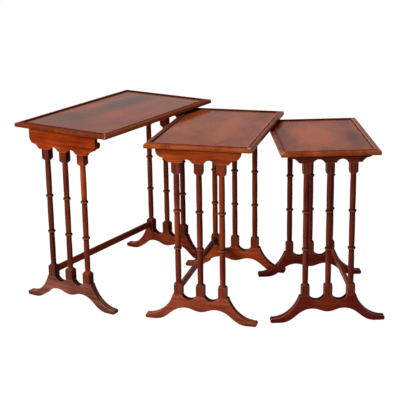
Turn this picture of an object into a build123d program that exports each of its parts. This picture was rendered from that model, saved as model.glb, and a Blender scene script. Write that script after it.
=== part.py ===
from build123d import *
from math import cos, radians, sin
import os

# A nest of three occasional tables, fanned out as they stand on a floor.
# Millimetres, +Z up. X runs along the large table and its open side faces -Y.

# Tops, measured over the rim
large_length = 624
large_height = 613
large_depth = 375
medium_depth = 344
small_depth = 311
top_overhang = 24
edge_height = 13.5
crest_rise = 3
rim_width = 19
rim_lip = 4
crest_width = 5
edge_round = 3
arris_round = 1.5
board_thickness = 9
panel_thickness = 3

# Turned legs, three to each end frame
leg_block = 26.25
leg_pitch = 73.2
leg_bottom = 89
block_low_height = 33
block_high_height = 31
shoulder_height = 8
shaft_end_diameter = 18
shaft_mid_diameter = 19.25
ring_diameter = 26
ring_height = 9.6
ring_low_centre = 246.5
ring_high_centre = 370.5
foot_pin_diameter = 13
foot_pin_length = 20

# Splayed feet, one under each end frame
foot_thickness = 22.5
foot_half_length = 185.5
foot_ledge = 5.125
foot_dip = 15
belly_height = 35
arch_height = 46
arch_place = 50
pad_length = 27
toe_round = 4
toe_height = 14.5
sweep_low_run = 44
sweep_low_rise = 12.5
sweep_high_run = 14
sweep_high_drop = 30

# Shaped aprons, one over each end frame
small_apron_height = 22.5
apron_thickness = 15
arch_flat = 5.875
arch_rise = 11.5
ear_flat = 11.875
cove_run = 15.75
cove_rise = 14.25
cove_hollow = 1
lobe_radius = 22.5
tenon_thickness = 7
tenon_width = 16
tenon_length = 14

# Runners behind the large table's aprons, under the top of the medium one
runner_thickness = 13
runner_height = 22
runner_gap = 1
runner_low_round = 12
runner_high_round = 5

# Low stretcher between the two end frames
stretcher_thickness = 9.25
stretcher_height = 21
stretcher_centre = 107.5
stretcher_shoulder = 2.5
stretcher_tenon = 9

# Screws that hold each apron up to its top
screw_diameter = 4
screw_grip = 7
screw_bite = 7
head_diameter = 7
head_height = 2.5
slot_width = 1
slot_depth = 1.2

# Fits
joint_gap = 0.1
bore_gap = 1
nest_leg_gap_medium = 14.75
nest_leg_gap_small = 13.75
nest_top_gap = 5
nest_back_gap = 1.25

# Each smaller table swings out of the nest about a far-off upright axis
medium_nest_shift = 8
medium_pole_x = 1167.8
medium_pole_y = -92.7
medium_swing = 18
small_nest_shift = 2
small_pole_x = 1068.7
small_pole_y = -31.5
small_swing = 17.2

# Sizes that follow from the ones above
top_thickness = edge_height + crest_rise
half_block = leg_block / 2
block_corner = half_block * 2**0.5
cove_start = leg_pitch + half_block + ear_flat
cove_end = cove_start + cove_run
apron_side = cove_end + lobe_radius
foot_top_half = leg_pitch + half_block + foot_ledge
nest_setback = half_block + stretcher_thickness / 2 + nest_back_gap
large_leg_line = large_length / 2 - top_overhang
medium_leg_line = large_leg_line - leg_block - nest_leg_gap_medium
small_leg_line = medium_leg_line - leg_block - nest_leg_gap_small
medium_height = large_height - top_thickness - nest_top_gap
small_height = medium_height - top_thickness - nest_top_gap
leg_top = small_height - top_thickness - small_apron_height
leg_places = {"front": -leg_pitch, "mid": 0, "back": leg_pitch}
ends = {"near": -1, "far": 1}


def swung_out(larger, nest_shift, pole_x, pole_y, swing):
    """The floor plane of a smaller table, swung from its nested place in the larger table's plane."""
    arm_x = nest_shift - pole_x
    arm_y = -nest_setback - pole_y
    turn = radians(swing)
    x = pole_x + arm_x * cos(turn) - arm_y * sin(turn)
    y = pole_y + arm_x * sin(turn) + arm_y * cos(turn)
    along = larger.x_dir * cos(turn) + larger.y_dir * sin(turn)
    return Plane(origin=larger.from_local_coords((x, y, 0)), x_dir=along, z_dir=larger.z_dir)


def upright_across(ground, x):
    """An upright plane across a table, with its own x along the table's depth and its own y up."""
    return Plane(origin=ground.from_local_coords((x, 0, 0)), x_dir=ground.y_dir, z_dir=ground.x_dir)


def upright_along(ground, x, y):
    """An upright plane along a table, with its own x along the table's length and its own y up."""
    return Plane(origin=ground.from_local_coords((x, y, 0)), x_dir=ground.x_dir, z_dir=-ground.y_dir)


def plan_reach(ground, leg_line, depth):
    """The corners of a table's top and feet, seen in plan."""
    top_reach = leg_line + top_overhang
    foot_reach = leg_line + foot_thickness / 2
    corners = [(sx * top_reach, sy * depth / 2, 0) for sx in (-1, 1) for sy in (-1, 1)]
    corners += [(sx * foot_reach, sy * foot_half_length, 0) for sx in (-1, 1) for sy in (-1, 1)]
    return [ground.from_local_coords(corner) for corner in corners]


def save(piece, label):
    """Names a finished piece and writes it."""
    piece.part.label = label
    export_step(piece.part, f"parts/{label}.step")


def make_board(table, ground, leg_line, depth, height):
    """Core board of the top, with pilot holes for the apron screws."""
    length = 2 * (leg_line + top_overhang - rim_lip)
    under = height - top_thickness
    with BuildPart() as board:
        with BuildSketch(ground.offset(under)):
            Rectangle(length, depth - 2 * rim_lip)
        extrude(amount=board_thickness)
        with BuildSketch(ground.offset(under)):
            with Locations(*screw_places(leg_line)):
                Circle(screw_diameter / 2 + joint_gap)
        extrude(amount=screw_bite + joint_gap, mode=Mode.SUBTRACT)
    save(board, f"{table}_top_board")


def make_panel(table, ground, leg_line, depth, height):
    """Figured panel that lies in the recess inside the rim."""
    inset = rim_width + joint_gap
    length = 2 * (leg_line + top_overhang - inset)
    with BuildPart() as panel:
        with BuildSketch(ground.offset(height - top_thickness + board_thickness)):
            Rectangle(length, depth - 2 * inset)
        extrude(amount=panel_thickness)
    save(panel, f"{table}_top_panel")


def make_rim(table, side, edge, length, under):
    """One mitred strip of the rim. The edge plane has its x along the strip and its y inward."""
    section_plane = Plane(origin=edge.offset(under).origin, x_dir=edge.y_dir, z_dir=edge.x_dir)
    with BuildPart() as strip:
        with BuildSketch(section_plane):
            with BuildLine():
                Line((rim_lip, 0), (arris_round, 0))
                RadiusArc((arris_round, 0), (0, arris_round), arris_round)
                Line((0, arris_round), (0, edge_height - edge_round))
                RadiusArc((0, edge_height - edge_round), (edge_round, edge_height), edge_round)
                slope_end = (rim_width - crest_width, top_thickness - arris_round / 2)
                Line((edge_round, edge_height), slope_end)
                crest = (rim_width - crest_width / 2, top_thickness)
                crest_end = (rim_width, top_thickness - arris_round)
                ThreePointArc(slope_end, crest, crest_end)
                Polyline(crest_end, (rim_width, board_thickness), (rim_lip, board_thickness), (rim_lip, 0))
            make_face()
        extrude(amount=length / 2, both=True)
        with BuildSketch(edge.offset(under)):
            inner_half = length / 2 - rim_width
            outer_half = length / 2
            mitres = ((inner_half, rim_width), (-inner_half, rim_width))
            Polygon((-outer_half, 0), (outer_half, 0), *mitres, align=None)
        extrude(amount=top_thickness, mode=Mode.INTERSECT)
    save(strip, f"{table}_rim_{side}")


def make_rims(table, ground, leg_line, depth, height):
    """The four strips around one top."""
    half_length = leg_line + top_overhang
    under = height - top_thickness
    faces = {
        "front": ((0, -depth / 2, 0), ground.x_dir, 2 * half_length),
        "far": ((half_length, 0, 0), ground.y_dir, depth),
        "back": ((0, depth / 2, 0), -ground.x_dir, 2 * half_length),
        "near": ((-half_length, 0, 0), -ground.y_dir, depth),
    }
    for side, (middle, along, length) in faces.items():
        edge = Plane(origin=ground.from_local_coords(middle), x_dir=along, z_dir=ground.z_dir)
        make_rim(table, side, edge, length, under)


def apron_line(leg_line, end):
    """Where the middle of an apron's thickness lies along the table."""
    return end * (leg_line + half_block - apron_thickness / 2)


def screw_places(leg_line):
    """Plan places of a table's apron screws, over the arches between the legs."""
    return [(apron_line(leg_line, end), side * leg_pitch / 2) for end in ends.values() for side in (-1, 1)]


def apron_half(height):
    """Half of an apron's outline: an arch, an ear, a cove and a round, then an upright side."""
    arch_start = half_block + arch_flat
    arch_end = leg_pitch - arch_start
    arch_crown = (leg_pitch / 2, leg_top + arch_rise)
    cove_middle = (cove_start + cove_run / 2 - cove_hollow, leg_top + cove_rise / 2 + cove_hollow)
    lobe_centre = (cove_end, leg_top + cove_rise + lobe_radius)
    blank_top = lobe_centre[1] + height
    Line((0, leg_top), (arch_start, leg_top))
    ThreePointArc((arch_start, leg_top), arch_crown, (arch_end, leg_top))
    Line((arch_end, leg_top), (cove_start, leg_top))
    ThreePointArc((cove_start, leg_top), cove_middle, (cove_end, leg_top + cove_rise))
    CenterArc(lobe_centre, lobe_radius, -90, 90)
    Polyline((apron_side, lobe_centre[1]), (apron_side, blank_top), (0, blank_top), (0, leg_top))


def make_apron(table, ground, leg_line, height, end_name):
    """Shaped apron of one end: arches between the legs, then a cove and a round at each side."""
    end = ends[end_name]
    apron_height = height - top_thickness - leg_top
    middle = apron_line(leg_line, end)
    with BuildPart() as apron:
        with BuildSketch(upright_across(ground, middle)):
            with BuildLine():
                apron_half(apron_height)
            make_face()
            mirror(about=Plane.YZ)
            with Locations((0, leg_top + apron_height / 2)):
                Rectangle(2 * foot_half_length, apron_height, mode=Mode.INTERSECT)
        extrude(amount=apron_thickness / 2, both=True)
        with BuildSketch(ground.offset(leg_top)):
            with Locations(*[(middle, y) for y in leg_places.values()]):
                Rectangle(tenon_thickness + 2 * joint_gap, tenon_width + 2 * joint_gap)
        extrude(amount=tenon_length + bore_gap, mode=Mode.SUBTRACT)
        with BuildSketch(ground.offset(leg_top)):
            with Locations((middle, -leg_pitch / 2), (middle, leg_pitch / 2)):
                Circle(screw_diameter / 2 + joint_gap)
        extrude(amount=apron_height, mode=Mode.SUBTRACT)
        with BuildSketch(ground.offset(leg_top)):
            with Locations((middle, -leg_pitch / 2), (middle, leg_pitch / 2)):
                Circle(head_diameter / 2 + joint_gap)
        extrude(amount=apron_height - screw_grip, mode=Mode.SUBTRACT)
    save(apron, f"{table}_apron_{end_name}")


def make_runner(table, ground, leg_line, carried_height, end_name):
    """Runner fixed behind an apron, as wide as it, just under the top of the next smaller table."""
    end = ends[end_name]
    runner_top = carried_height - top_thickness - runner_gap
    middle = end * (leg_line + half_block - apron_thickness - runner_thickness / 2)
    with BuildPart() as runner:
        with BuildSketch(upright_across(ground, middle)) as outline:
            with Locations((0, runner_top - runner_height / 2)):
                Rectangle(2 * apron_side, runner_height)
            fillet(outline.vertices().group_by(Axis.Y)[0], radius=runner_low_round)
            fillet(outline.vertices().group_by(Axis.Y)[-1], radius=runner_high_round)
        extrude(amount=runner_thickness / 2, both=True)
    save(runner, f"{table}_runner_{end_name}")


def make_screws(table, ground, leg_line, height):
    """The four slotted screws that hold a table's aprons up to its top board."""
    seat = height - top_thickness - screw_grip
    with BuildPart() as screws:
        with BuildSketch(ground.offset(seat)):
            with Locations(*screw_places(leg_line)):
                Circle(screw_diameter / 2)
        extrude(amount=screw_grip + screw_bite)
        with BuildSketch(ground.offset(seat)):
            with Locations(*screw_places(leg_line)):
                Circle(head_diameter / 2)
        extrude(amount=-head_height)
        with BuildSketch(ground.offset(seat - head_height)):
            with Locations(*screw_places(leg_line)):
                Rectangle(slot_width, head_diameter)
        extrude(amount=slot_depth, mode=Mode.SUBTRACT)
    save(screws, f"{table}_apron_screws")


def bay(low, high):
    """One slightly swelling stretch of a leg's shaft."""
    end_radius = shaft_end_diameter / 2
    swell = (shaft_mid_diameter / 2, (low + high) / 2)
    ThreePointArc((end_radius, low), swell, (end_radius, high))


def make_leg(table, ground, leg_line, end_name, place, stretcher_place):
    """Turned leg: square blocks with turned shoulders, a slim shaft with two rings, a pin and a tenon."""
    end = ends[end_name]
    y = leg_places[place]
    pin = foot_pin_diameter / 2
    shaft = shaft_end_diameter / 2
    blank = 2 * half_block
    pin_end = leg_bottom - foot_pin_length
    low_shoulder = leg_bottom + block_low_height
    shaft_start = low_shoulder + shoulder_height
    high_shoulder = leg_top - block_high_height
    shaft_end = high_shoulder - shoulder_height
    with BuildPart() as leg:
        with BuildSketch(upright_along(ground, end * leg_line, y)):
            with BuildLine():
                Polyline((0, pin_end), (pin, pin_end), (pin, leg_bottom), (blank, leg_bottom))
                Polyline((blank, leg_bottom), (blank, low_shoulder), (block_corner, low_shoulder))
                Line((block_corner, low_shoulder), (shaft, shaft_start))
                start = shaft_start
                for centre in (ring_low_centre, ring_high_centre):
                    bay(start, centre - ring_height / 2)
                    ring_start = (shaft, centre - ring_height / 2)
                    start = centre + ring_height / 2
                    ThreePointArc(ring_start, (ring_diameter / 2, centre), (shaft, start))
                bay(start, shaft_end)
                Line((shaft, shaft_end), (block_corner, high_shoulder))
                Polyline((block_corner, high_shoulder), (blank, high_shoulder), (blank, leg_top))
                Polyline((blank, leg_top), (0, leg_top), (0, pin_end))
            make_face()
        revolve(axis=Axis(ground.from_local_coords((end * leg_line, y, 0)), ground.z_dir))
        with BuildSketch(ground.offset(pin_end)):
            with Locations((end * leg_line, y)):
                Rectangle(leg_block, leg_block)
        extrude(amount=leg_top - pin_end, mode=Mode.INTERSECT)
        with BuildSketch(ground.offset(leg_top)):
            with Locations((apron_line(leg_line, end), y)):
                Rectangle(tenon_thickness, tenon_width)
        extrude(amount=tenon_length)
        if place == stretcher_place:
            with BuildSketch(upright_across(ground, end * (leg_line - half_block))):
                with Locations((y, stretcher_centre)):
                    Rectangle(
                        stretcher_thickness - 2 * (stretcher_shoulder - joint_gap),
                        stretcher_height - 2 * (stretcher_shoulder - joint_gap),
                    )
            extrude(amount=end * (stretcher_tenon + bore_gap), mode=Mode.SUBTRACT)
    save(leg, f"{table}_leg_{end_name}_{place}")


def make_foot(table, ground, leg_line, end_name):
    """Splayed foot: ledges under the legs, hollows between them, sweeping toes and an arched underside."""
    end = ends[end_name]
    toe_start = foot_half_length - toe_round
    pad_start = toe_start - pad_length
    outer_start = leg_pitch - half_block
    with BuildPart() as foot:
        with BuildSketch(upright_across(ground, end * leg_line)):
            with BuildLine():
                Spline((0, belly_height), (arch_place, arch_height), tangents=((1, 0), (1, 0)))
                Spline((arch_place, arch_height), (pad_start, 0), tangents=((1, 0), (1, 0)))
                Line((pad_start, 0), (toe_start, 0))
                ThreePointArc((toe_start, 0), (foot_half_length, toe_height / 2), (toe_start, toe_height))
                Spline(
                    (toe_start, toe_height),
                    (toe_start - sweep_low_run, toe_height + sweep_low_rise),
                    (foot_top_half + sweep_high_run, leg_bottom - sweep_high_drop),
                    (foot_top_half, leg_bottom),
                )
                Line((foot_top_half, leg_bottom), (outer_start, leg_bottom))
                dip = (leg_pitch / 2, leg_bottom - foot_dip)
                ThreePointArc((outer_start, leg_bottom), dip, (half_block, leg_bottom))
                Polyline((half_block, leg_bottom), (0, leg_bottom), (0, belly_height))
            make_face()
            mirror(about=Plane.YZ)
        extrude(amount=foot_thickness / 2, both=True)
        with BuildSketch(ground.offset(leg_bottom)):
            with Locations(*[(end * leg_line, y) for y in leg_places.values()]):
                Circle(foot_pin_diameter / 2 + joint_gap)
        extrude(amount=-(foot_pin_length + bore_gap), mode=Mode.SUBTRACT)
    save(foot, f"{table}_foot_{end_name}")


def make_stretcher(table, ground, leg_line, place):
    """Low rail between the two end frames, tenoned into the lower blocks of two legs."""
    y = leg_places[place]
    half_length = leg_line - half_block
    with BuildPart() as stretcher:
        with BuildSketch(upright_across(ground, 0)):
            with Locations((y, stretcher_centre)):
                Rectangle(stretcher_thickness, stretcher_height)
        extrude(amount=half_length, both=True)
        with BuildSketch(upright_across(ground, 0)):
            with Locations((y, stretcher_centre)):
                Rectangle(
                    stretcher_thickness - 2 * stretcher_shoulder,
                    stretcher_height - 2 * stretcher_shoulder,
                )
        extrude(amount=half_length + stretcher_tenon, both=True)
    save(stretcher, f"{table}_stretcher")


def make_table(table, ground, leg_line, depth, height, stretcher_place):
    """All the pieces of one table."""
    make_board(table, ground, leg_line, depth, height)
    make_panel(table, ground, leg_line, depth, height)
    make_rims(table, ground, leg_line, depth, height)
    make_screws(table, ground, leg_line, height)
    make_stretcher(table, ground, leg_line, stretcher_place)
    for end_name in ends:
        make_apron(table, ground, leg_line, height, end_name)
        make_foot(table, ground, leg_line, end_name)
        for place in leg_places:
            make_leg(table, ground, leg_line, end_name, place, stretcher_place)


def fanned_out(start):
    """The floor planes of the three tables, from the place of the large one."""
    large = Plane(origin=start)
    medium = swung_out(large, medium_nest_shift, medium_pole_x, medium_pole_y, medium_swing)
    small = swung_out(medium, small_nest_shift, small_pole_x, small_pole_y, small_swing)
    return large, medium, small


os.makedirs("parts", exist_ok=True)

# The origin lies on the floor, at the middle of the whole fanned nest
leg_lines = (large_leg_line, medium_leg_line, small_leg_line)
depths = (large_depth, medium_depth, small_depth)
heights = (large_height, medium_height, small_height)
reach = []
for ground, leg_line, depth in zip(fanned_out((0, 0, 0)), leg_lines, depths):
    reach += plan_reach(ground, leg_line, depth)
middle_x = (min(point.X for point in reach) + max(point.X for point in reach)) / 2
middle_y = (min(point.Y for point in reach) + max(point.Y for point in reach)) / 2
grounds = fanned_out((-middle_x, -middle_y, 0))

names = ("large", "medium", "small")
stretcher_sides = ("back", "back", "front")
for name, ground, leg_line, depth, height, side in zip(
    names, grounds, leg_lines, depths, heights, stretcher_sides
):
    make_table(name, ground, leg_line, depth, height, side)
for end_name in ends:
    make_runner("large", grounds[0], large_leg_line, medium_height, end_name)

# The upright axes that the two smaller tables swing about, and the tables' places
poles = ((medium_pole_x, medium_pole_y, 0), (small_pole_x, small_pole_y, 0))
for name, larger, pole in zip(names[1:], grounds, poles):
    print(name, "swings about", larger.from_local_coords(pole))
for name, ground in zip(names, grounds):
    print(name, "stands at", ground.origin, "along", ground.x_dir)
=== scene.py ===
from math import atan2, radians

import bpy
from mathutils import Matrix, Vector


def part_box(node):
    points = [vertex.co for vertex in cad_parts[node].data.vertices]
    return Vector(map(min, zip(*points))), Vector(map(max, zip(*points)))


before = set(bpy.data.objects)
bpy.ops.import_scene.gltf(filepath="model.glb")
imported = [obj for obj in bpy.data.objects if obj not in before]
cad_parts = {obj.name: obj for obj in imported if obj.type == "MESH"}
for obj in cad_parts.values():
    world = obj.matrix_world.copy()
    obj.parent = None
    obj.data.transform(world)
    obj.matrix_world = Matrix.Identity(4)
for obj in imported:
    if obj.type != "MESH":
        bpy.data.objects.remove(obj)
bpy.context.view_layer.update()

scene = bpy.context.scene
scene.view_settings.view_transform = "Standard"

# Names of the nest's tables and of the pieces that come more than once in a table.
TABLES = ("large", "medium", "small")
ENDS = ("near", "far")
LEGS = ("front", "mid", "back")
RIM_SIDES = ("front", "back", "near", "far")

# Noise in the woods: scale, detail, roughness, distortion.
FRAME_STREAK = (95, 3, 0.55, 0.3)
FRAME_FIBRE = (620, 3, 0.6)
FRAME_PATCH = (11, 2, 0.5)
FRAME_PORE = (1500, 1, 0.5)
FRAME_RUB_AND_SHEEN = (40, 3, 0.6)
RIM_STREAK = (170, 3, 0.6)
RIM_FIBRE = (420, 3, 0.6)
RIM_PATCH = (26, 3, 0.55)
RIM_RUB_AND_SHEEN = (60, 3, 0.6)
RIM_RAGGED = (320, 3, 0.6)
PANEL_SWIRL = (6, 3, 0.55, 0.8)
PANEL_FLAME = (30, 4, 0.6, 0.9)
PANEL_FIBRE = (620, 3, 0.6)
PANEL_PORE = (1500, 1)
STEEL_STAIN = (900, 3, 0.6)

# How far the noise is drawn out along the grain.
GRAIN = 0.045
STRETCH = {"x": (GRAIN, 1, 1), "y": (1, GRAIN, 1), "z": (1, 1, GRAIN)}
BAND_ACROSS = {"x": (GRAIN, 1, 0.09), "y": (1, GRAIN, 0.09)}
BAND_ALONG = {"x": (0.05, 1, 1), "y": (1, 0.05, 1)}
SWIRL_STRETCH = (0.55, 1, 1)
FLAME_STRETCH = (0.4, 1, 1)
FLAME_TURN = radians(22)
PORE_STRETCH = (0.02, 1, 1)
PIECE_SHIFT = (3.1, 2.3, 1.7)

# Shares of streak, fibre and patch in a wood's tone, and the tones at which its three colours lie.
FRAME_SHARES = {"fibre": 0.25, "streak": 0.55, "patch": 0.35}
FRAME_STOPS = (0.42, 0.58, 0.74)
RIM_SHARES = {"fibre": 0.22, "streak": 0.40, "patch": 0.48}
RIM_STOPS = (0.40, 0.56, 0.74)
SWIRL_SHARE = 0.6
FLAME_MIDDLE = 0.5
PANEL_TONE = 0.21
PANEL_FIBRE_SHARE = 0.14
PANEL_STOPS = (0.38, 0.56, 0.78)
STEEL_STOPS = (0.35, 0.65)

# Edges and hollows: radius of the rounding, reach of the painted shade in hollows, and how strongly each
# shows; edges are painted paler, worn and with painted highlight.
EDGE_BAND = (0.99, 0.86)
HOLLOW_BAND = (0.90, 0.40)
EDGE_SAMPLES = 6
FRAME_ROUND = 0.0032
FRAME_REACH = 0.014
FOOT_REACH = 0.030
RIM_ROUND = 0.0024
RIM_REACH = 0.008
FRAME_RUB_AND_SHEEN_BAND = (0.30, 0.56)
RIM_RUB_AND_SHEEN_BAND = (0.45, 0.62)
RIM_RUB_AND_SHEEN_SHARE = 0.6
CORNER_BAND = (0.040, 0.012)
CORNER_SHARE = 0.9
FRAME_HOLLOW_SHARE = 0.75
RIM_HOLLOW_SHARE = 0.7
PLAIN_WEAR_AND_HIGHLIGHT = 0.3
APRON_WEAR_AND_HIGHLIGHT = 0.25
FOOT_WEAR_AND_HIGHLIGHT = 0.75
LEG_WEAR_AND_HIGHLIGHT = 0.5

# Pores.
FRAME_PORE_BAND = (0.62, 0.72)
FRAME_PORE_SHARE = 0.45
PANEL_PORE_BAND = (0.64, 0.74)
PANEL_PORE_SHARE = 0.3

# Places of painted shade and painted light on the frames, and where the block tint ends, in metres on
# the table.
DIP_UPWARD = (0.15, 0.55)
DIP_SPAN = (0.110, 0.080)
DIP_SHARE = 0.8
UNDER_RIM_LOW = 0.0055
UNDER_RIM_HIGH = 0.0025
UNDER_RIM_SHARE = 0.95
BLOCK_TOP = (0.128, 0.120)
PAINTED_LIGHT_FADE = 0.05
RING_HEIGHTS = (0.2465, 0.3705)
RING_HIGHLIGHT_BAND = (0.0022, 0.0010)
RING_HIGHLIGHT_SHARE = 0.22
GROOVE_NEAR = (0.0028, 0.0044)
GROOVE_FAR = (0.0085, 0.0060)
GROOVE_SHARE = 0.75

# Lines on the rim strips and the panel, most of them painted shade, in metres from the table's outer
# edge.
RIM_UPWARD = (0.45, 0.85)
RIM_FOOT_RISE = 0.007
RIM_FOOT_SHARE = 0.45
RIM_GROOVE_OUTER = (0.0100, 0.0110)
RIM_GROOVE_INNER = (0.0148, 0.0143)
RIM_GROOVE_SHARE = 0.95
BEAD_BAND = (0.0142, 0.0148)
BEAD_SHARE = 0.8
RIM_LINE_BAND = (0.0186, 0.0190)
RIM_LINE_SHARE = 0.9
RAGGED_DEPTH = 0.006
SPOT_FADE = 0.004
BORDER_BAND = (0.0235, 0.0195)
BORDER_SHARE = 0.7

# Polish: roughness as a share of the grain and a base, gloss, and depth of the grain.
FRAME_ROUGHNESS = (0.12, 0.16)
RIM_ROUGHNESS = (0.12, 0.18)
PANEL_ROUGHNESS = (0.08, 0.08)
STEEL_ROUGHNESS = (0.3, 0.3)
FRAME_GLOSS = 0.002
RIM_GLOSS = {"large": 0.007, "medium": 0.012, "small": 0.012}
FRAME_BUMP = 0.18
RIM_BUMP = 0.15
PANEL_BUMP = 0.06
STEEL_BUMP = 0.1
BUMP_DEPTH = 0.0004

# Single colours.
FRAME_PORE_TONE = (0.05, 0.008, 0.004)
FRAME_WEAR_AND_HIGHLIGHT = (0.62, 0.36, 0.24)
FRAME_PAINTED_SHADE = (0.022, 0.005, 0.003)
UNDER_RIM_SHADOW = (0.016, 0.004, 0.002)
RING_HIGHLIGHT_TONE = (0.50, 0.24, 0.14)
PAINTED_LIGHT_TONE = (0.44, 0.070, 0.012)
RIM_FOOT_SHADE_TONE = (0.040, 0.007, 0.003)
RIM_GROOVE_SHADOW = (0.020, 0.004, 0.003)
RIM_INNER_SHADOW = (0.028, 0.006, 0.004)
RIM_WEAR_AND_HIGHLIGHT = (0.55, 0.27, 0.14)
RIM_BARE = (0.60, 0.36, 0.20)
RIM_PAINTED_SHADE = (0.02, 0.005, 0.003)
PANEL_PORE_TONE = (0.06, 0.015, 0.008)
PANEL_BORDER_SHADE = (0.03, 0.008, 0.006)
LIT_BEAD = (0.42, 0.095, 0.045)
HIGHLIT_BEAD = (0.40, 0.120, 0.070)
SHADED_BEAD = (0.085, 0.014, 0.007)

# Woods, each as its dark, middle and light colour.
RIM_TOP = ((0.12, 0.018, 0.006), (0.22, 0.038, 0.012), (0.35, 0.072, 0.022))
RIM_EDGE = ((0.15, 0.024, 0.005), (0.28, 0.052, 0.011), (0.44, 0.105, 0.026))
STEEL = ((0.16, 0.13, 0.11), (0.42, 0.40, 0.38))
ORANGE = ((0.15, 0.020, 0.005), (0.30, 0.043, 0.009), (0.45, 0.090, 0.018))
CHESTNUT = ((0.120, 0.0135, 0.0035), (0.24, 0.027, 0.0045), (0.40, 0.062, 0.010))
RUSSET = ((0.095, 0.015, 0.005), (0.19, 0.031, 0.009), (0.31, 0.058, 0.015))
MAROON = ((0.055, 0.009, 0.005), (0.125, 0.019, 0.009), (0.22, 0.036, 0.014))
WINE = ((0.060, 0.011, 0.007), (0.140, 0.023, 0.013), (0.24, 0.044, 0.022))
UMBER = ((0.038, 0.008, 0.005), (0.090, 0.017, 0.009), (0.16, 0.034, 0.014))
BROWN = ((0.095, 0.026, 0.016), (0.178, 0.053, 0.034), (0.29, 0.094, 0.060))
CLARET = ((0.080, 0.010, 0.0065), (0.18, 0.020, 0.012), (0.30, 0.038, 0.019))
COPPER = ((0.148, 0.025, 0.012), (0.285, 0.052, 0.023), (0.43, 0.102, 0.044))
ROSEWOOD = ((0.095, 0.012, 0.005), (0.20, 0.027, 0.010), (0.32, 0.055, 0.020))
FLAME = ((0.23, 0.029, 0.009), (0.42, 0.060, 0.016), (0.58, 0.120, 0.034))
GARNET = ((0.090, 0.013, 0.005), (0.18, 0.027, 0.010), (0.29, 0.050, 0.018))
CHERRY = ((0.070, 0.011, 0.006), (0.15, 0.023, 0.011), (0.25, 0.043, 0.018))
SADDLE = ((0.14, 0.034, 0.020), (0.26, 0.070, 0.042), (0.38, 0.120, 0.075))
BRICK = ((0.16, 0.026, 0.010), (0.32, 0.052, 0.018), (0.48, 0.100, 0.035))

# Which wood each piece has; the choice holds the pieces' own colours and also painted light and shade,
# as pieces that lie in shade got lighter woods.
LEG_TINTS = {
    "large": {"near": (GARNET, MAROON, UMBER), "far": (MAROON, RUSSET, RUSSET)},
    "medium": {"near": (GARNET, CHERRY, CHERRY), "far": (GARNET, GARNET, RUSSET)},
    "small": {"near": (WINE, WINE, WINE), "far": (CHERRY, CHERRY, CHERRY)},
}
FOOT_TINTS = {
    "large": {"near": BROWN, "far": ROSEWOOD},
    "medium": {"near": COPPER, "far": FLAME},
    "small": {"near": CLARET, "far": CLARET},
}
STRETCHER_TINTS = {"large": BRICK, "medium": SADDLE, "small": BRICK}
APRON_TINTS = {"large": CHESTNUT, "medium": ORANGE, "small": MAROON}
BOARD_TINT = RUSSET
RUNNER_TINT = MAROON

# Share and colour of the tint on the legs' square blocks.
BLOCK_TINTS = {
    "large": (0.65, (0.115, 0.029, 0.018)),
    "medium": (0.3, (0.25, 0.052, 0.018)),
    "small": (0.3, (0.25, 0.052, 0.018)),
}
# Painted light on lengths of single legs: lower end, upper end, share.
PAINTED_LIGHT_SPANS = {
    "large_leg_near_front": (0.36, 0.53, 0.55),
    "medium_leg_near_front": (0.24, 0.53, 0.15),
    "medium_leg_near_back": (0.24, 0.42, 0.35),
}
# The bead's colour by side is painted light and shade: lit on the near side of the medium and small
# tables, highlit on the front, shaded on the other sides.
BEAD_LIGHT_AND_SHADE = {
    "large": {"near": SHADED_BEAD, "front": HIGHLIT_BEAD, "far": SHADED_BEAD, "back": SHADED_BEAD},
    "medium": {"near": LIT_BEAD, "front": HIGHLIT_BEAD, "far": SHADED_BEAD, "back": SHADED_BEAD},
    "small": {"near": LIT_BEAD, "front": HIGHLIT_BEAD, "far": SHADED_BEAD, "back": SHADED_BEAD},
}
# Shift of a rim strip's tone, on its top and on its upright edge: between tables the wood's own tone,
# between the sides of one table painted light and shade.
RIM_TOP_TONE_AND_LIGHT = {
    "large": {"near": -0.24, "front": -0.10, "far": -0.10, "back": -0.10},
    "medium": {"near": 0.0, "front": 0.0, "far": 0.0, "back": 0.0},
    "small": {"near": 0.02, "front": 0.02, "far": 0.02, "back": 0.02},
}
RIM_EDGE_TONE_AND_LIGHT = {
    "large": {"near": -0.14, "front": 0.26, "far": -0.14, "back": -0.14},
    "medium": {"near": 0.06, "front": 0.0, "far": 0.0, "back": 0.0},
    "small": {"near": 0.06, "front": 0.0, "far": 0.0, "back": 0.0},
}
# Bare spots on the rims: place on the table, size, strength.
WORN = {
    "large": (((-0.312, -0.1875, 0.604), 0.005, 0.55),),
    "medium": (((-0.262, -0.163, 0.589), 0.006, 0.85),),
    "small": (((-0.229, 0.150, 0.567), 0.004, 0.5),),
}
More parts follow.
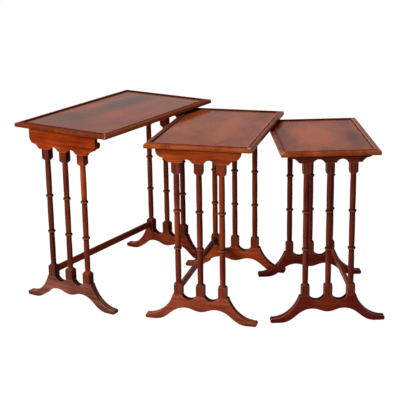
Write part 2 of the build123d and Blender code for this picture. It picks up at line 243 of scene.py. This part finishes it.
# Panels: gloss, strength of the figure, the wood, and its plumes (place, size, turn in degrees, weight).
PANELS = {
    "large": (
        0.018,
        0.25,
        ((0.072, 0.026, 0.011), (0.140, 0.031, 0.010), (0.25, 0.043, 0.009)),
        (
            ((0.085, 0.050), (0.17, 0.080), 8, -0.26),
            ((0.210, 0.055), (0.12, 0.065), 0, -0.17),
            ((-0.165, 0.085), (0.15, 0.070), 15, -0.13),
            ((0.035, 0.120), (0.070, 0.028), 15, 0.36),
            ((0.130, 0.118), (0.080, 0.020), 5, 0.24),
            ((-0.090, -0.030), (0.16, 0.060), 15, 0.12),
            ((0.050, -0.110), (0.20, 0.050), 5, 0.08),
        ),
    ),
    "medium": (
        0.016,
        0.42,
        ((0.10, 0.019, 0.006), (0.18, 0.034, 0.008), (0.28, 0.056, 0.010)),
        (
            ((0.04, -0.04), (0.20, 0.06), -10, 0.22),
            ((-0.13, -0.03), (0.10, 0.04), -15, 0.16),
            ((-0.06, 0.09), (0.18, 0.08), 0, 0.12),
            ((0.19, -0.12), (0.10, 0.06), 0, -0.16),
            ((0.10, 0.06), (0.14, 0.05), 0, -0.06),
        ),
    ),
    "small": (
        0.016,
        0.42,
        ((0.085, 0.014, 0.005), (0.18, 0.034, 0.008), (0.31, 0.060, 0.010)),
        (
            ((0.00, 0.02), (0.24, 0.10), -12, 0.28),
            ((-0.04, -0.10), (0.16, 0.05), 0, -0.26),
            ((0.17, -0.11), (0.10, 0.05), 0, -0.20),
            ((0.05, 0.12), (0.20, 0.03), 0, -0.18),
        ),
    ),
}

# Studio: soft light all round, a pale floor, two lamps (place, aim, size, watts) and the camera.
SOFT_COLOUR = (1, 0.98, 0.96, 1)
SOFT_LIGHT = 0.15
WHITE = (1, 1, 1, 1)
FLOOR_REACH = 30
FLOOR_COLOUR = (0.6, 0.6, 0.6, 1)
FLOOR_GLOW = 1.07
FLOOR_GLOW_SHARE = 0.93
LAMPS = {
    "key": ((-0.6, 0.5, 3.3), (0, 0, 0.6), (1.2, 1.2), 70),
    "side": ((-3.1, 1.1, 1.45), (0.1, 0.1, 0.3), (1.6, 0.5), 88),
}
SENSOR_WIDTH = 36
LENS = 99.89
CAMERA_PLACE = (-3.0645, -1.8787, 1.4362)
CAMERA_HEADING = radians(-57.083)
CAMERA_PITCH = radians(90 - 17.143)
CAMERA_ROLL = -0.0161


class Graph:
    """A material under construction, with short calls for the nodes that the woods share."""

    def __init__(self, name):
        self.material = bpy.data.materials.new(name)
        self.material.use_nodes = True
        self.tree = self.material.node_tree
        self.shader = self.tree.nodes["Principled BSDF"]

    def add(self, kind, **settings):
        node = self.tree.nodes.new(kind)
        for key, value in settings.items():
            setattr(node, key, value)
        return node

    def feed(self, socket, value):
        if isinstance(value, bpy.types.NodeSocket):
            self.tree.links.new(value, socket)
        else:
            socket.default_value = value

    def math(self, operation, first, second=0.0, third=0.0):
        node = self.add("ShaderNodeMath", operation=operation)
        for socket, value in zip(node.inputs, (first, second, third)):
            self.feed(socket, value)
        return node.outputs[0]

    def vector(self, operation, *values):
        node = self.add("ShaderNodeVectorMath", operation=operation)
        for socket, value in zip(node.inputs, values):
            self.feed(socket, value)
        return node.outputs["Value" if operation in ("DOT_PRODUCT", "LENGTH") else "Vector"]

    def mapped(self, source, location=(0, 0, 0), rotation=(0, 0, 0), scale=(1, 1, 1)):
        node = self.add("ShaderNodeMapping")
        self.feed(node.inputs["Vector"], source)
        node.inputs["Location"].default_value = location
        node.inputs["Rotation"].default_value = rotation
        node.inputs["Scale"].default_value = scale
        return node.outputs["Vector"]

    def noise(self, source, scale, detail=2.0, roughness=0.5, distortion=0.0):
        node = self.add("ShaderNodeTexNoise")
        self.feed(node.inputs["Vector"], source)
        node.inputs["Scale"].default_value = scale
        node.inputs["Detail"].default_value = detail
        node.inputs["Roughness"].default_value = roughness
        node.inputs["Distortion"].default_value = distortion
        return node.outputs["Fac"]

    def ramp(self, value, stops, colours):
        node = self.add("ShaderNodeValToRGB")
        points = node.color_ramp.elements
        while len(points) < len(stops):
            points.new(0.5)
        for point, place, colour in zip(points, stops, colours):
            point.position = place
            point.color = (*colour, 1)
        self.feed(node.inputs["Fac"], value)
        return node.outputs["Color"]

    def band(self, value, low, high):
        """0 at the low end, 1 at the high end, smooth between; low may be the larger number."""
        node = self.add("ShaderNodeMapRange", interpolation_type="SMOOTHSTEP")
        node.inputs["From Min"].default_value = low
        node.inputs["From Max"].default_value = high
        self.feed(node.inputs["Value"], value)
        return node.outputs["Result"]

    def mix(self, factor, first, second):
        node = self.add("ShaderNodeMix", data_type="RGBA")
        self.feed(node.inputs["Factor"], factor)
        colours = [socket for socket in node.inputs if socket.type == "RGBA"]
        for socket, value in zip(colours, (first, second)):
            self.feed(socket, value if isinstance(value, bpy.types.NodeSocket) else (*value, 1))
        return next(socket for socket in node.outputs if socket.type == "RGBA")

    def stain(self, colour, where, share, tone):
        """The colour with a share of another tone laid over it where a mask says so."""
        return self.mix(self.math("MULTIPLY", where, share), colour, tone)

    def tone(self, parts, shares):
        """A sum of grain patterns, each with its share."""
        total = 0.0
        for name, share in shares.items():
            total = self.math("MULTIPLY_ADD", parts[name], share, total)
        return total

    def split(self, source):
        node = self.add("ShaderNodeSeparateXYZ")
        self.feed(node.inputs["Vector"], source)
        return node.outputs["X"], node.outputs["Y"], node.outputs["Z"]

    def normal(self):
        return self.add("ShaderNodeNewGeometry").outputs["Normal"]


def middle(node):
    low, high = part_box(node)
    return (Vector(low) + Vector(high)) / 2


class Table:
    """Where one table stands: its middle on the floor, its turn, and the half sizes of its top."""

    def __init__(self, name):
        self.name = name
        near, far = (middle(f"{name}_leg_{end}_mid") for end in ENDS)
        along = far - near
        self.turn = atan2(along.y, along.x)
        self.centre = (near + far) / 2
        self.centre.z = 0
        self.back = Matrix.Rotation(-self.turn, 3, "Z")
        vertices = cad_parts[f"{name}_rim_near"].data.vertices
        corners = [self.back @ (vertex.co - self.centre) for vertex in vertices]
        self.half_length = max(abs(corner.x) for corner in corners)
        self.half_depth = max(abs(corner.y) for corner in corners)
        self.rim_foot = min(corner.z for corner in corners)

    def local(self, graph):
        """The table's own coordinates: x along it to the far end, y to its back, z up."""
        source = graph.add("ShaderNodeTexCoord").outputs["Object"]
        return graph.mapped(source, location=-(self.back @ self.centre), rotation=(0, 0, -self.turn))

    def inset(self, graph, x, y):
        """How far a point lies inside the end edges and inside the long edges of the top."""
        from_end = graph.math("SUBTRACT", self.half_length, graph.math("ABSOLUTE", x))
        from_side = graph.math("SUBTRACT", self.half_depth, graph.math("ABSOLUTE", y))
        return from_end, from_side


def edge_and_hollow(graph, radius, reach):
    """How near a point lies to a sharp edge, how deep it sits in a corner, and a softened normal."""
    soft = graph.add("ShaderNodeBevel", samples=EDGE_SAMPLES)
    soft.inputs["Radius"].default_value = radius
    facing = graph.vector("DOT_PRODUCT", soft.outputs["Normal"], graph.normal())
    edge = graph.band(facing, *EDGE_BAND)
    hollow = graph.add("ShaderNodeAmbientOcclusion", samples=EDGE_SAMPLES)
    hollow.inputs["Distance"].default_value = reach
    return edge, graph.band(hollow.outputs["AO"], *HOLLOW_BAND), soft.outputs["Normal"]


def polish(graph, colour, roughness, height, normal, bump):
    """Joins colour, roughness and fine relief to the material's shader."""
    graph.feed(graph.shader.inputs["Base Color"], colour)
    graph.feed(graph.shader.inputs["Roughness"], roughness)
    node = graph.add("ShaderNodeBump")
    node.inputs["Strength"].default_value = bump
    node.inputs["Distance"].default_value = BUMP_DEPTH
    graph.feed(node.inputs["Height"], height)
    graph.feed(node.inputs["Normal"], normal)
    graph.feed(graph.shader.inputs["Normal"], node.outputs["Normal"])
    return graph.material


def shade_foot(graph, colour, local):
    """Paints shade into the dips between the leg blocks."""
    upward = graph.split(graph.normal())[2]
    between = graph.band(graph.math("ABSOLUTE", graph.split(local)[1]), *DIP_SPAN)
    dip = graph.math("MULTIPLY", graph.band(upward, *DIP_UPWARD), between)
    return graph.stain(colour, dip, DIP_SHARE, FRAME_PAINTED_SHADE)


def shade_apron(graph, colour, height, rim_foot):
    """Paints a shadow line on the apron just under the rim."""
    under = graph.band(height, rim_foot - UNDER_RIM_LOW, rim_foot - UNDER_RIM_HIGH)
    return graph.stain(colour, under, UNDER_RIM_SHARE, UNDER_RIM_SHADOW)


def shade_leg(graph, colour, height, table_name, leg):
    """Tints the foot block, paints light on a length of some legs, paints a highlight on the rings and
    paints shade in the grooves beside them.
    """
    colour = graph.stain(colour, graph.band(height, *BLOCK_TOP), *BLOCK_TINTS[table_name])
    node = f"{table_name}_{leg}"
    if node in PAINTED_LIGHT_SPANS:
        low, high, share = PAINTED_LIGHT_SPANS[node]
        rise = graph.band(height, low, low + PAINTED_LIGHT_FADE)
        fall = graph.band(height, high, high - PAINTED_LIGHT_FADE)
        colour = graph.stain(colour, graph.math("MULTIPLY", rise, fall), share, PAINTED_LIGHT_TONE)
    for ring in RING_HEIGHTS:
        away = graph.math("ABSOLUTE", graph.math("SUBTRACT", height, ring))
        # A painted highlight on each ring's crest, and painted shade in the grooves beside it.
        colour = graph.stain(colour, graph.band(away, *RING_HIGHLIGHT_BAND), RING_HIGHLIGHT_SHARE, RING_HIGHLIGHT_TONE)
        groove = graph.math("MULTIPLY", graph.band(away, *GROOVE_NEAR), graph.band(away, *GROOVE_FAR))
        colour = graph.stain(colour, groove, GROOVE_SHARE, FRAME_PAINTED_SHADE)
    return colour


def frame_wood(table, kind, axis, tint, wear_and_highlight=PLAIN_WEAR_AND_HIGHLIGHT):
    """Polished mahogany with its grain along one axis of the table."""
    graph = Graph(f"{table.name}_{kind}_mahogany")
    local = table.local(graph)
    piece = graph.add("ShaderNodeObjectInfo").outputs["Random"]
    moved = graph.vector("MULTIPLY_ADD", piece, PIECE_SHIFT, local)
    along = graph.mapped(moved, scale=STRETCH[axis])
    fibre = graph.noise(along, *FRAME_FIBRE)
    pore = graph.band(graph.noise(along, *FRAME_PORE), *FRAME_PORE_BAND)
    grain = {
        "fibre": fibre,
        "streak": graph.noise(along, *FRAME_STREAK),
        "patch": graph.noise(moved, *FRAME_PATCH),
    }
    colour = graph.ramp(graph.tone(grain, FRAME_SHARES), FRAME_STOPS, tint)
    colour = graph.stain(colour, pore, FRAME_PORE_SHARE, FRAME_PORE_TONE)
    reach = FOOT_REACH if kind.startswith("foot") else FRAME_REACH
    edge, hollow, normal = edge_and_hollow(graph, FRAME_ROUND, reach)
    # Edges are painted paler: worn, and with painted highlight standing in for the polish's glints.
    rub_and_sheen = graph.band(graph.noise(local, *FRAME_RUB_AND_SHEEN), *FRAME_RUB_AND_SHEEN_BAND)
    colour = graph.stain(colour, graph.math("MULTIPLY", edge, rub_and_sheen), wear_and_highlight, FRAME_WEAR_AND_HIGHLIGHT)
    height = graph.split(local)[2]
    if kind.startswith("foot"):
        colour = shade_foot(graph, colour, local)
    if kind == "apron":
        colour = shade_apron(graph, colour, height, table.rim_foot)
    if kind.startswith("leg"):
        colour = shade_leg(graph, colour, height, table.name, kind)
    # Painted shade darkens corners and hollows, deeper where other surfaces close round them.
    colour = graph.stain(colour, hollow, FRAME_HOLLOW_SHARE, FRAME_PAINTED_SHADE)
    roughness = graph.math("MULTIPLY_ADD", fibre, *FRAME_ROUGHNESS)
    graph.shader.inputs["Specular IOR Level"].default_value = FRAME_GLOSS
    return polish(graph, colour, roughness, graph.math("SUBTRACT", fibre, pore), normal, FRAME_BUMP)


def rim_wood(table, side):
    """Crossbanded rim strip: a red top, a painted groove shadow and a bead inside it with its light and
    shade painted by side, a painted shadow line at the panel, an upright edge with painted shade at its
    foot, worn edges with painted highlight, painted shade in hollows.
    """
    graph = Graph(f"{table.name}_rim_{side}_crossband")
    local = table.local(graph)
    across, along = ("x", "y") if side in ENDS else ("y", "x")
    fibre = graph.noise(graph.mapped(local, scale=BAND_ACROSS[across]), *RIM_FIBRE)
    grain = {
        "fibre": fibre,
        "streak": graph.noise(graph.mapped(local, scale=BAND_ALONG[along]), *RIM_STREAK),
        "patch": graph.noise(local, *RIM_PATCH),
    }
    tone = graph.tone(grain, RIM_SHARES)
    top = graph.ramp(graph.math("ADD", tone, RIM_TOP_TONE_AND_LIGHT[table.name][side]), RIM_STOPS, RIM_TOP)
    upright = graph.ramp(graph.math("ADD", tone, RIM_EDGE_TONE_AND_LIGHT[table.name][side]), RIM_STOPS, RIM_EDGE)
    upward = graph.split(graph.normal())[2]
    colour = graph.mix(graph.band(upward, *RIM_UPWARD), upright, top)
    x, y, z = graph.split(local)
    # Painted shade: the upright edge darkens towards its foot.
    foot = graph.band(z, table.rim_foot + RIM_FOOT_RISE, table.rim_foot)
    colour = graph.stain(colour, foot, RIM_FOOT_SHARE, RIM_FOOT_SHADE_TONE)
    from_end, from_side = table.inset(graph, x, y)
    inward = from_end if side in ENDS else from_side
    outer, inner = graph.band(inward, *RIM_GROOVE_OUTER), graph.band(inward, *RIM_GROOVE_INNER)
    # A painted shadow line stands for the groove between the crest and the flat.
    colour = graph.stain(colour, graph.math("MULTIPLY", outer, inner), RIM_GROOVE_SHARE, RIM_GROOVE_SHADOW)
    colour = graph.stain(colour, graph.band(inward, *BEAD_BAND), BEAD_SHARE, BEAD_LIGHT_AND_SHADE[table.name][side])
    # A painted shadow line where the rim meets the panel.
    colour = graph.stain(colour, graph.band(inward, *RIM_LINE_BAND), RIM_LINE_SHARE, RIM_INNER_SHADOW)
    edge, hollow, normal = edge_and_hollow(graph, RIM_ROUND, RIM_REACH)
    # Edges are painted paler, most at the corners: worn, and with painted highlight along the arrises.
    corner = graph.band(graph.math("ADD", from_end, from_side), *CORNER_BAND)
    rub_and_sheen = graph.band(graph.noise(local, *RIM_RUB_AND_SHEEN), *RIM_RUB_AND_SHEEN_BAND)
    rub_and_sheen = graph.math("MULTIPLY", rub_and_sheen, RIM_RUB_AND_SHEEN_SHARE)
    wear_and_highlight = graph.math("MULTIPLY", edge, graph.math("MULTIPLY_ADD", corner, CORNER_SHARE, rub_and_sheen))
    colour = graph.mix(graph.math("MINIMUM", wear_and_highlight, 1), colour, RIM_WEAR_AND_HIGHLIGHT)
    ragged = graph.math("MULTIPLY", graph.noise(local, *RIM_RAGGED), RAGGED_DEPTH)
    for place, size, strength in WORN[table.name]:
        spot = graph.vector("LENGTH", graph.vector("SUBTRACT", local, place))
        spot = graph.band(graph.math("ADD", spot, ragged), size + SPOT_FADE, size)
        colour = graph.stain(colour, spot, strength, RIM_BARE)
    # Painted shade darkens the rim's corners and hollows.
    colour = graph.stain(colour, hollow, RIM_HOLLOW_SHARE, RIM_PAINTED_SHADE)
    roughness = graph.math("MULTIPLY_ADD", fibre, *RIM_ROUGHNESS)
    graph.shader.inputs["Specular IOR Level"].default_value = RIM_GLOSS[table.name]
    return polish(graph, colour, roughness, fibre, normal, RIM_BUMP)


def panel_wood(table, gloss, figure, tint, plumes):
    """Figured mahogany panel: soft flames of light and dark across fine fibres along the table."""
    graph = Graph(f"{table.name}_figured_panel")
    local = table.local(graph)
    swirl = graph.noise(graph.mapped(local, scale=SWIRL_STRETCH), *PANEL_SWIRL)
    turned = graph.mapped(local, rotation=(0, 0, FLAME_TURN), scale=FLAME_STRETCH)
    flame = graph.noise(turned, *PANEL_FLAME)
    fibre = graph.noise(graph.mapped(local, scale=STRETCH["x"]), *PANEL_FIBRE)
    pore = graph.noise(graph.mapped(local, scale=PORE_STRETCH), *PANEL_PORE)
    flicker = graph.math("SUBTRACT", flame, FLAME_MIDDLE)
    tone = graph.math("MULTIPLY_ADD", flicker, figure, PANEL_TONE)
    tone = graph.math("MULTIPLY_ADD", swirl, SWIRL_SHARE, tone)
    tone = graph.math("MULTIPLY_ADD", fibre, PANEL_FIBRE_SHARE, tone)
    for place, (length, width), turn, weight in plumes:
        spot = graph.vector("SUBTRACT", local, (*place, 0))
        spot = graph.mapped(spot, rotation=(0, 0, radians(-turn)), scale=(1 / length, 1 / width, 0))
        soft = graph.band(graph.vector("LENGTH", spot), 1, 0)
        tone = graph.math("MULTIPLY_ADD", soft, weight, tone)
    colour = graph.ramp(tone, PANEL_STOPS, tint)
    colour = graph.stain(colour, graph.band(pore, *PANEL_PORE_BAND), PANEL_PORE_SHARE, PANEL_PORE_TONE)
    x, y, _ = graph.split(local)
    # Painted shade along the panel's border, beside the rim.
    border = graph.band(graph.math("MINIMUM", *table.inset(graph, x, y)), *BORDER_BAND)
    colour = graph.stain(colour, border, BORDER_SHARE, PANEL_BORDER_SHADE)
    roughness = graph.math("MULTIPLY_ADD", flame, *PANEL_ROUGHNESS)
    graph.shader.inputs["Specular IOR Level"].default_value = gloss
    return polish(graph, colour, roughness, fibre, graph.normal(), PANEL_BUMP)


def steel():
    """Dull steel of the screws, unevenly stained."""
    graph = Graph("steel_screw")
    source = graph.add("ShaderNodeTexCoord").outputs["Object"]
    stain = graph.noise(source, *STEEL_STAIN)
    colour = graph.ramp(stain, STEEL_STOPS, STEEL)
    graph.shader.inputs["Metallic"].default_value = 1.0
    roughness = graph.math("MULTIPLY_ADD", stain, *STEEL_ROUGHNESS)
    return polish(graph, colour, roughness, stain, graph.normal(), STEEL_BUMP)


def dress(node, material):
    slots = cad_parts[node].data.materials
    slots.clear()
    slots.append(material)


def dress_table(table, screw_steel):
    """Gives every piece of one table its material."""
    name = table.name
    dress(f"{name}_top_board", frame_wood(table, "board", "x", BOARD_TINT))
    dress(f"{name}_top_panel", panel_wood(table, *PANELS[name]))
    dress(f"{name}_stretcher", frame_wood(table, "stretcher", "x", STRETCHER_TINTS[name]))
    dress(f"{name}_apron_screws", screw_steel)
    for side in RIM_SIDES:
        dress(f"{name}_rim_{side}", rim_wood(table, side))
    apron = frame_wood(table, "apron", "y", APRON_TINTS[name], APRON_WEAR_AND_HIGHLIGHT)
    for end in ENDS:
        dress(f"{name}_apron_{end}", apron)
        foot = f"foot_{end}"
        dress(f"{name}_{foot}", frame_wood(table, foot, "y", FOOT_TINTS[name][end], FOOT_WEAR_AND_HIGHLIGHT))
        for place, tint in zip(LEGS, LEG_TINTS[name][end]):
            leg = f"leg_{end}_{place}"
            dress(f"{name}_{leg}", frame_wood(table, leg, "z", tint, LEG_WEAR_AND_HIGHLIGHT))


def dress_runners(table):
    """The large table alone has runners behind its aprons."""
    runner = frame_wood(table, "runner", "y", RUNNER_TINT)
    for end in ENDS:
        dress(f"{table.name}_runner_{end}", runner)


def seen_directly(tree):
    """1 for rays that show the background itself: straight from the camera, mirrored or let through."""
    path = tree.nodes.new("ShaderNodeLightPath")
    total = path.outputs["Is Camera Ray"]
    for name in ("Is Glossy Ray", "Is Transmission Ray"):
        node = tree.nodes.new("ShaderNodeMath")
        node.operation = "MAXIMUM"
        tree.links.new(total, node.inputs[0])
        tree.links.new(path.outputs[name], node.inputs[1])
        total = node.outputs[0]
    return total


def make_world():
    world = bpy.data.worlds.new("studio")
    world.use_nodes = True
    scene.world = world
    tree = world.node_tree
    soft = tree.nodes["Background"]
    soft.inputs["Color"].default_value = SOFT_COLOUR
    soft.inputs["Strength"].default_value = SOFT_LIGHT
    white = tree.nodes.new("ShaderNodeBackground")
    white.inputs["Color"].default_value = WHITE
    mixed = tree.nodes.new("ShaderNodeMixShader")
    tree.links.new(seen_directly(tree), mixed.inputs[0])
    tree.links.new(soft.outputs[0], mixed.inputs[1])
    tree.links.new(white.outputs[0], mixed.inputs[2])
    tree.links.new(mixed.outputs[0], tree.nodes["World Output"].inputs["Surface"])


def make_floor():
    mesh = bpy.data.meshes.new("floor")
    signs = ((-1, -1), (1, -1), (1, 1), (-1, 1))
    mesh.from_pydata([(x * FLOOR_REACH, y * FLOOR_REACH, 0) for x, y in signs], [], [(0, 1, 2, 3)])
    floor = bpy.data.objects.new("floor", mesh)
    scene.collection.objects.link(floor)
    material = bpy.data.materials.new("floor_white")
    material.use_nodes = True
    tree = material.node_tree
    tree.nodes.remove(tree.nodes["Principled BSDF"])
    diffuse = tree.nodes.new("ShaderNodeBsdfDiffuse")
    diffuse.inputs["Color"].default_value = FLOOR_COLOUR
    glow = tree.nodes.new("ShaderNodeEmission")
    glow.inputs["Strength"].default_value = FLOOR_GLOW
    share = tree.nodes.new("ShaderNodeMath")
    share.operation = "MULTIPLY"
    share.inputs[1].default_value = FLOOR_GLOW_SHARE
    tree.links.new(seen_directly(tree), share.inputs[0])
    mixed = tree.nodes.new("ShaderNodeMixShader")
    tree.links.new(share.outputs[0], mixed.inputs[0])
    tree.links.new(diffuse.outputs[0], mixed.inputs[1])
    tree.links.new(glow.outputs[0], mixed.inputs[2])
    tree.links.new(mixed.outputs[0], tree.nodes["Material Output"].inputs["Surface"])
    mesh.materials.append(material)


def make_lamp(name, place, aim, size, power):
    """An area lamp that lights the tables but isn't mirrored in their polish."""
    data = bpy.data.lights.new(name, "AREA")
    data.shape = "RECTANGLE"
    data.size, data.size_y = size
    data.energy = power
    lamp = bpy.data.objects.new(name, data)
    scene.collection.objects.link(lamp)
    lamp.visible_glossy = False
    lamp.location = place
    lamp.rotation_euler = (Vector(aim) - Vector(place)).to_track_quat("-Z", "Y").to_euler()


def make_camera():
    data = bpy.data.cameras.new("camera")
    data.sensor_width = SENSOR_WIDTH
    data.lens = LENS
    camera = bpy.data.objects.new("camera", data)
    scene.collection.objects.link(camera)
    place = Matrix.Translation(CAMERA_PLACE)
    heading = Matrix.Rotation(CAMERA_HEADING, 4, "Z")
    pitch = Matrix.Rotation(CAMERA_PITCH, 4, "X")
    roll = Matrix.Rotation(CAMERA_ROLL, 4, "Z")
    camera.matrix_world = place @ heading @ pitch @ roll
    scene.camera = camera


screw_steel = steel()
tables = {name: Table(name) for name in TABLES}
for table in tables.values():
    dress_table(table, screw_steel)
dress_runners(tables["large"])
make_world()
make_floor()
for name, settings in LAMPS.items():
    make_lamp(name, *settings)
make_camera()
